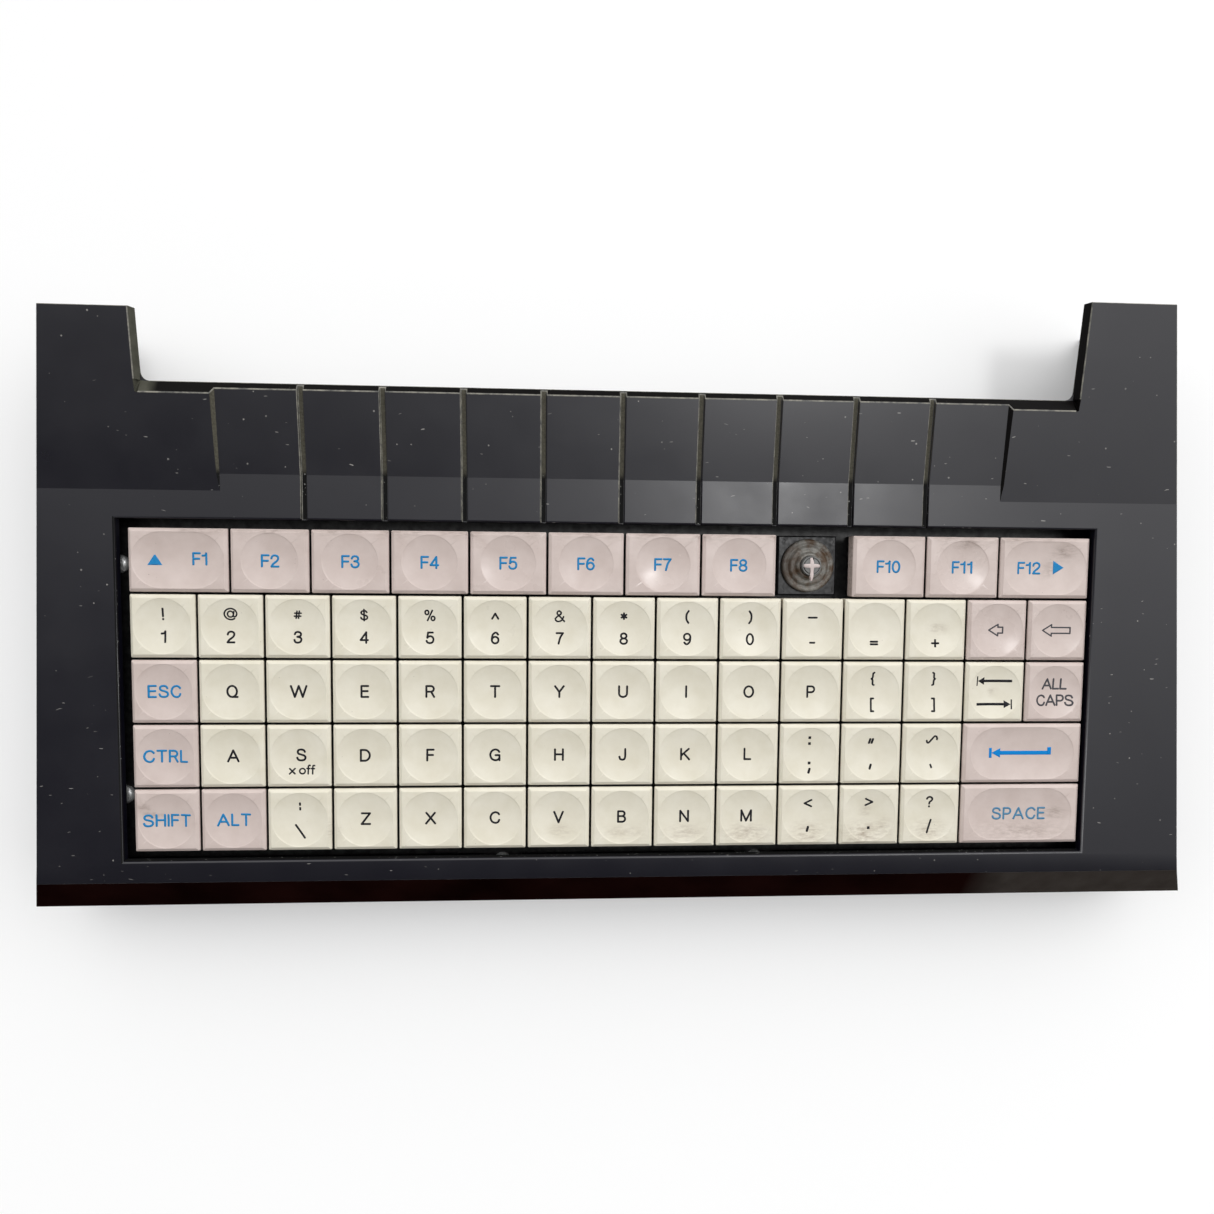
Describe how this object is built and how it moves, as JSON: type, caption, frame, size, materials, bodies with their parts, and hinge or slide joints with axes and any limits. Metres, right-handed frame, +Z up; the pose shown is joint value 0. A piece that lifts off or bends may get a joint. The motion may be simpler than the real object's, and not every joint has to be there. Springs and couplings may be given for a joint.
{
  "type": "machine operator panel keyboard",
  "caption": "Sloping plastic operator panel with a full letter and function keyboard of sealed keys, wings beside a display bay, and a bare switch where one cap is missing.",
  "frame": {"origin": "centre of the housing's bounding rectangle, on the face that the panel lies on", "axes": "+X to the operator's right, +Y away from the operator towards the display bay, +Z up out of the keys"},
  "size_m": [0.357, 0.1814, 0.0421],
  "materials": {
    "housing_plastic": "fine satin mould grain, charcoal",
    "cover_plastic": "plain black moulded",
    "screw_steel": "bright zinc plated",
    "plate_steel": "dark plated sheet",
    "switch_plastic": "black moulded",
    "spring_steel": "drawn wire",
    "boot_rubber": "grey rubber with brown stains",
    "board_laminate": "green solder mask",
    "spacer_brass": "turned",
    "chip_plastic": "moulded epoxy",
    "connector_steel": "plated shell",
    "cap_rose": "satin double-shot plastic, pinkish grey",
    "cap_cream": "satin double-shot plastic, cream",
    "stem_plastic": "worn acetal",
    "legend_blue": "printed legend, blue",
    "legend_dark": "printed legend, dark grey"
  },
  "bodies": {
    "panel": {"top_housing": "housing_plastic", "back_cover": "cover_plastic", "cover_screws": "screw_steel", "switch_plate": "plate_steel", "plate_screws": "screw_steel", "switch_bodies": "switch_plastic", "key_springs": "spring_steel", "rubber_boots": "boot_rubber", "f9_boot": "boot_rubber", "circuit_board": "board_laminate", "board_spacers": "spacer_brass", "controller_chips": "chip_plastic", "data_connector": "connector_steel"},
    "f1_plunger": {"f1_key": "cap_rose"},
    "f2_plunger": {"f2_key": "cap_rose"},
    "f3_plunger": {"f3_key": "cap_rose"},
    "f4_plunger": {"f4_key": "cap_rose"},
    "f5_plunger": {"f5_key": "cap_rose"},
    "f6_plunger": {"f6_key": "cap_rose"},
    "f7_plunger": {"f7_key": "cap_rose"},
    "f8_plunger": {"f8_key": "cap_rose"},
    "f10_plunger": {"f10_key": "cap_rose"},
    "f11_plunger": {"f11_key": "cap_rose"},
    "f12_plunger": {"f12_key": "cap_rose"},
    "short_arrow_plunger": {"short_arrow_key": "cap_rose"},
    "long_arrow_plunger": {"long_arrow_key": "cap_rose"},
    "esc_plunger": {"esc_key": "cap_rose"},
    "all_caps_plunger": {"all_caps_key": "cap_rose"},
    "ctrl_plunger": {"ctrl_key": "cap_rose"},
    "enter_plunger": {"enter_key": "cap_rose"},
    "shift_plunger": {"shift_key": "cap_rose"},
    "alt_plunger": {"alt_key": "cap_rose"},
    "space_plunger": {"space_key": "cap_rose"},
    "one_plunger": {"one_key": "cap_cream"},
    "two_plunger": {"two_key": "cap_cream"},
    "three_plunger": {"three_key": "cap_cream"},
    "four_plunger": {"four_key": "cap_cream"},
    "five_plunger": {"five_key": "cap_cream"},
    "six_plunger": {"six_key": "cap_cream"},
    "seven_plunger": {"seven_key": "cap_cream"},
    "eight_plunger": {"eight_key": "cap_cream"},
    "nine_plunger": {"nine_key": "cap_cream"},
    "zero_plunger": {"zero_key": "cap_cream"},
    "minus_plunger": {"minus_key": "cap_cream"},
    "equals_plunger": {"equals_key": "cap_cream"},
    "plus_plunger": {"plus_key": "cap_cream"},
    "upper_letter_plunger": {"upper_letter_keys": "cap_cream"},
    "left_bracket_plunger": {"left_bracket_key": "cap_cream"},
    "right_bracket_plunger": {"right_bracket_key": "cap_cream"},
    "tab_plunger": {"tab_key": "cap_cream"},
    "middle_letter_plunger": {"middle_letter_keys": "cap_cream"},
    "semicolon_plunger": {"semicolon_key": "cap_cream"},
    "quote_plunger": {"quote_key": "cap_cream"},
    "tilde_plunger": {"tilde_key": "cap_cream"},
    "backslash_plunger": {"backslash_key": "cap_cream"},
    "lower_letter_plunger": {"lower_letter_keys": "cap_cream"},
    "comma_plunger": {"comma_key": "cap_cream"},
    "period_plunger": {"period_key": "cap_cream"},
    "slash_plunger": {"slash_key": "cap_cream"},
    "f9_plunger": {"f9_stem": "stem_plastic"}
  },
  "joints": [
    {"name": "f1_press", "type": "slide", "parent": "panel", "child": "f1_plunger", "axis": [0, 0, -1], "range_m": [0, 0.0032], "stiffness_N_per_m": 120, "springref_m": -0.004},
    {"name": "f2_press", "type": "slide", "parent": "panel", "child": "f2_plunger", "axis": [0, 0, -1], "range_m": [0, 0.0032], "stiffness_N_per_m": 120, "springref_m": -0.004},
    {"name": "f3_press", "type": "slide", "parent": "panel", "child": "f3_plunger", "axis": [0, 0, -1], "range_m": [0, 0.0032], "stiffness_N_per_m": 120, "springref_m": -0.004},
    {"name": "f4_press", "type": "slide", "parent": "panel", "child": "f4_plunger", "axis": [0, 0, -1], "range_m": [0, 0.0032], "stiffness_N_per_m": 120, "springref_m": -0.004},
    {"name": "f5_press", "type": "slide", "parent": "panel", "child": "f5_plunger", "axis": [0, 0, -1], "range_m": [0, 0.0032], "stiffness_N_per_m": 120, "springref_m": -0.004},
    {"name": "f6_press", "type": "slide", "parent": "panel", "child": "f6_plunger", "axis": [0, 0, -1], "range_m": [0, 0.0032], "stiffness_N_per_m": 120, "springref_m": -0.004},
    {"name": "f7_press", "type": "slide", "parent": "panel", "child": "f7_plunger", "axis": [0, 0, -1], "range_m": [0, 0.0032], "stiffness_N_per_m": 120, "springref_m": -0.004},
    {"name": "f8_press", "type": "slide", "parent": "panel", "child": "f8_plunger", "axis": [0, 0, -1], "range_m": [0, 0.0032], "stiffness_N_per_m": 120, "springref_m": -0.004},
    {"name": "f10_press", "type": "slide", "parent": "panel", "child": "f10_plunger", "axis": [0, 0, -1], "range_m": [0, 0.0032], "stiffness_N_per_m": 120, "springref_m": -0.004},
    {"name": "f11_press", "type": "slide", "parent": "panel", "child": "f11_plunger", "axis": [0, 0, -1], "range_m": [0, 0.0032], "stiffness_N_per_m": 120, "springref_m": -0.004},
    {"name": "f12_press", "type": "slide", "parent": "panel", "child": "f12_plunger", "axis": [0, 0, -1], "range_m": [0, 0.0032], "stiffness_N_per_m": 120, "springref_m": -0.004},
    {"name": "short_arrow_press", "type": "slide", "parent": "panel", "child": "short_arrow_plunger", "axis": [0, 0, -1], "range_m": [0, 0.0032], "stiffness_N_per_m": 120, "springref_m": -0.004},
    {"name": "long_arrow_press", "type": "slide", "parent": "panel", "child": "long_arrow_plunger", "axis": [0, 0, -1], "range_m": [0, 0.0032], "stiffness_N_per_m": 120, "springref_m": -0.004},
    {"name": "esc_press", "type": "slide", "parent": "panel", "child": "esc_plunger", "axis": [0, 0, -1], "range_m": [0, 0.0032], "stiffness_N_per_m": 120, "springref_m": -0.004},
    {"name": "all_caps_press", "type": "slide", "parent": "panel", "child": "all_caps_plunger", "axis": [0, 0, -1], "range_m": [0, 0.0032], "stiffness_N_per_m": 120, "springref_m": -0.004},
    {"name": "ctrl_press", "type": "slide", "parent": "panel", "child": "ctrl_plunger", "axis": [0, 0, -1], "range_m": [0, 0.0032], "stiffness_N_per_m": 120, "springref_m": -0.004},
    {"name": "enter_press", "type": "slide", "parent": "panel", "child": "enter_plunger", "axis": [0, 0, -1], "range_m": [0, 0.0032], "stiffness_N_per_m": 120, "springref_m": -0.004},
    {"name": "shift_press", "type": "slide", "parent": "panel", "child": "shift_plunger", "axis": [0, 0, -1], "range_m": [0, 0.0032], "stiffness_N_per_m": 120, "springref_m": -0.004},
    {"name": "alt_press", "type": "slide", "parent": "panel", "child": "alt_plunger", "axis": [0, 0, -1], "range_m": [0, 0.0032], "stiffness_N_per_m": 120, "springref_m": -0.004},
    {"name": "space_press", "type": "slide", "parent": "panel", "child": "space_plunger", "axis": [0, 0, -1], "range_m": [0, 0.0032], "stiffness_N_per_m": 120, "springref_m": -0.004},
    {"name": "one_press", "type": "slide", "parent": "panel", "child": "one_plunger", "axis": [0, 0, -1], "range_m": [0, 0.0032], "stiffness_N_per_m": 120, "springref_m": -0.004},
    {"name": "two_press", "type": "slide", "parent": "panel", "child": "two_plunger", "axis": [0, 0, -1], "range_m": [0, 0.0032], "stiffness_N_per_m": 120, "springref_m": -0.004},
    {"name": "three_press", "type": "slide", "parent": "panel", "child": "three_plunger", "axis": [0, 0, -1], "range_m": [0, 0.0032], "stiffness_N_per_m": 120, "springref_m": -0.004},
    {"name": "four_press", "type": "slide", "parent": "panel", "child": "four_plunger", "axis": [0, 0, -1], "range_m": [0, 0.0032], "stiffness_N_per_m": 120, "springref_m": -0.004},
    {"name": "five_press", "type": "slide", "parent": "panel", "child": "five_plunger", "axis": [0, 0, -1], "range_m": [0, 0.0032], "stiffness_N_per_m": 120, "springref_m": -0.004},
    {"name": "six_press", "type": "slide", "parent": "panel", "child": "six_plunger", "axis": [0, 0, -1], "range_m": [0, 0.0032], "stiffness_N_per_m": 120, "springref_m": -0.004},
    {"name": "seven_press", "type": "slide", "parent": "panel", "child": "seven_plunger", "axis": [0, 0, -1], "range_m": [0, 0.0032], "stiffness_N_per_m": 120, "springref_m": -0.004},
    {"name": "eight_press", "type": "slide", "parent": "panel", "child": "eight_plunger", "axis": [0, 0, -1], "range_m": [0, 0.0032], "stiffness_N_per_m": 120, "springref_m": -0.004},
    {"name": "nine_press", "type": "slide", "parent": "panel", "child": "nine_plunger", "axis": [0, 0, -1], "range_m": [0, 0.0032], "stiffness_N_per_m": 120, "springref_m": -0.004},
    {"name": "zero_press", "type": "slide", "parent": "panel", "child": "zero_plunger", "axis": [0, 0, -1], "range_m": [0, 0.0032], "stiffness_N_per_m": 120, "springref_m": -0.004},
    {"name": "minus_press", "type": "slide", "parent": "panel", "child": "minus_plunger", "axis": [0, 0, -1], "range_m": [0, 0.0032], "stiffness_N_per_m": 120, "springref_m": -0.004},
    {"name": "equals_press", "type": "slide", "parent": "panel", "child": "equals_plunger", "axis": [0, 0, -1], "range_m": [0, 0.0032], "stiffness_N_per_m": 120, "springref_m": -0.004},
    {"name": "plus_press", "type": "slide", "parent": "panel", "child": "plus_plunger", "axis": [0, 0, -1], "range_m": [0, 0.0032], "stiffness_N_per_m": 120, "springref_m": -0.004},
    {"name": "upper_letter_press", "type": "slide", "parent": "panel", "child": "upper_letter_plunger", "axis": [0, 0, -1], "range_m": [0, 0.0032], "stiffness_N_per_m": 1200, "springref_m": -0.004},
    {"name": "left_bracket_press", "type": "slide", "parent": "panel", "child": "left_bracket_plunger", "axis": [0, 0, -1], "range_m": [0, 0.0032], "stiffness_N_per_m": 120, "springref_m": -0.004},
    {"name": "right_bracket_press", "type": "slide", "parent": "panel", "child": "right_bracket_plunger", "axis": [0, 0, -1], "range_m": [0, 0.0032], "stiffness_N_per_m": 120, "springref_m": -0.004},
    {"name": "tab_press", "type": "slide", "parent": "panel", "child": "tab_plunger", "axis": [0, 0, -1], "range_m": [0, 0.0032], "stiffness_N_per_m": 120, "springref_m": -0.004},
    {"name": "middle_letter_press", "type": "slide", "parent": "panel", "child": "middle_letter_plunger", "axis": [0, 0, -1], "range_m": [0, 0.0032], "stiffness_N_per_m": 1080, "springref_m": -0.004},
    {"name": "semicolon_press", "type": "slide", "parent": "panel", "child": "semicolon_plunger", "axis": [0, 0, -1], "range_m": [0, 0.0032], "stiffness_N_per_m": 120, "springref_m": -0.004},
    {"name": "quote_press", "type": "slide", "parent": "panel", "child": "quote_plunger", "axis": [0, 0, -1], "range_m": [0, 0.0032], "stiffness_N_per_m": 120, "springref_m": -0.004},
    {"name": "tilde_press", "type": "slide", "parent": "panel", "child": "tilde_plunger", "axis": [0, 0, -1], "range_m": [0, 0.0032], "stiffness_N_per_m": 120, "springref_m": -0.004},
    {"name": "backslash_press", "type": "slide", "parent": "panel", "child": "backslash_plunger", "axis": [0, 0, -1], "range_m": [0, 0.0032], "stiffness_N_per_m": 120, "springref_m": -0.004},
    {"name": "lower_letter_press", "type": "slide", "parent": "panel", "child": "lower_letter_plunger", "axis": [0, 0, -1], "range_m": [0, 0.0032], "stiffness_N_per_m": 840, "springref_m": -0.004},
    {"name": "comma_press", "type": "slide", "parent": "panel", "child": "comma_plunger", "axis": [0, 0, -1], "range_m": [0, 0.0032], "stiffness_N_per_m": 120, "springref_m": -0.004},
    {"name": "period_press", "type": "slide", "parent": "panel", "child": "period_plunger", "axis": [0, 0, -1], "range_m": [0, 0.0032], "stiffness_N_per_m": 120, "springref_m": -0.004},
    {"name": "slash_press", "type": "slide", "parent": "panel", "child": "slash_plunger", "axis": [0, 0, -1], "range_m": [0, 0.0032], "stiffness_N_per_m": 120, "springref_m": -0.004},
    {"name": "f9_press", "type": "slide", "parent": "panel", "child": "f9_plunger", "axis": [0, 0, -1], "range_m": [0, 0.0032], "stiffness_N_per_m": 120, "springref_m": -0.004, "deforming": ["f9_boot"]}
  ]
}
